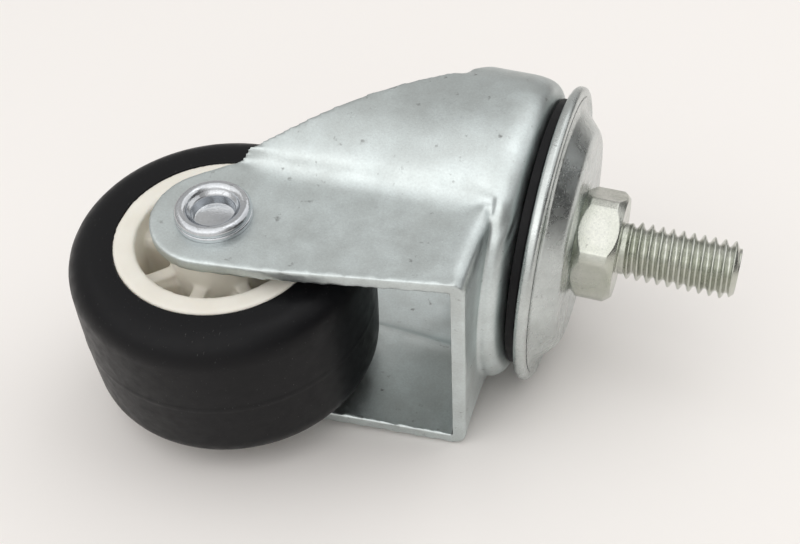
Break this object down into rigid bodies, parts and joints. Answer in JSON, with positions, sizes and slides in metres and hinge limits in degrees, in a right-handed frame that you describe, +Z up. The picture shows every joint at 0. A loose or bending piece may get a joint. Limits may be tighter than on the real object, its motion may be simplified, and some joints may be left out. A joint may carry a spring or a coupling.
{
  "type": "swivel castor",
  "caption": "Small swivel castor: black tyre on a pale hub in a pressed steel fork, under a dished cap with a hexagon and a threaded stem.",
  "frame": {"origin": "centre of the hexagon's top face, where the castor seats against the furniture, on the swivel axis", "axes": "+Z up along the threaded stem, +X towards the trailing side of the fork where the wheel trails, +Y along the axle towards the rivet's factory head"},
  "size_m": [0.0615, 0.0416, 0.0824],
  "materials": {
    "fork_zinc": "bright zinc plate, lightly spangled",
    "cap_zinc": "bright zinc plate with faint yellow tint",
    "seal_black": "moulded black",
    "bolt_zinc": "bright zinc plate",
    "race_steel": "zinc plate",
    "rivet_zinc": "bright zinc plate",
    "washer_zinc": "bright zinc plate",
    "sleeve_steel": "plain turned steel",
    "hub_plastic": "moulded, off-white",
    "tyre_black": "smooth polyurethane, satin",
    "ball_steel": "polished bearing balls"
  },
  "bodies": {
    "mount": {"king_bolt": "bolt_zinc", "top_cap": "cap_zinc", "lower_race": "race_steel"},
    "fork": {"fork": "fork_zinc", "dust_ring": "seal_black", "axle_rivet": "rivet_zinc", "rivet_washer": "washer_zinc", "axle_sleeve": "sleeve_steel"},
    "wheel": {"tyre": "tyre_black", "wheel_hub": "hub_plastic"},
    "upper_balls": {"upper_ball_01": "ball_steel", "upper_ball_02": "ball_steel", "upper_ball_03": "ball_steel", "upper_ball_04": "ball_steel", "upper_ball_05": "ball_steel", "upper_ball_06": "ball_steel", "upper_ball_07": "ball_steel", "upper_ball_08": "ball_steel", "upper_ball_09": "ball_steel", "upper_ball_10": "ball_steel", "upper_ball_11": "ball_steel", "upper_ball_12": "ball_steel", "upper_ball_13": "ball_steel", "upper_ball_14": "ball_steel"},
    "lower_balls": {"lower_ball_01": "ball_steel", "lower_ball_02": "ball_steel", "lower_ball_03": "ball_steel", "lower_ball_04": "ball_steel", "lower_ball_05": "ball_steel", "lower_ball_06": "ball_steel", "lower_ball_07": "ball_steel", "lower_ball_08": "ball_steel", "lower_ball_09": "ball_steel", "lower_ball_10": "ball_steel", "lower_ball_11": "ball_steel", "lower_ball_12": "ball_steel"}
  },
  "joints": [
    {"name": "swivel", "type": "hinge", "parent": "mount", "child": "fork", "pos_m": [0, 0, 0], "axis": [0, 0, 1], "continuous": true},
    {"name": "wheel_spin", "type": "hinge", "parent": "fork", "child": "wheel", "pos_m": [0.0217, 0, -0.0474], "axis": [0, 1, 0], "continuous": true},
    {"name": "upper_ball_orbit", "type": "hinge", "parent": "mount", "child": "upper_balls", "pos_m": [0, 0, 0], "axis": [0, 0, 1], "continuous": true},
    {"name": "lower_ball_orbit", "type": "hinge", "parent": "mount", "child": "lower_balls", "pos_m": [0, 0, 0], "axis": [0, 0, 1], "continuous": true}
  ],
  "couplings": [
    {"joint": "upper_ball_orbit", "follows": "swivel", "ratio": 0.5},
    {"joint": "lower_ball_orbit", "follows": "swivel", "ratio": 0.5}
  ]
}
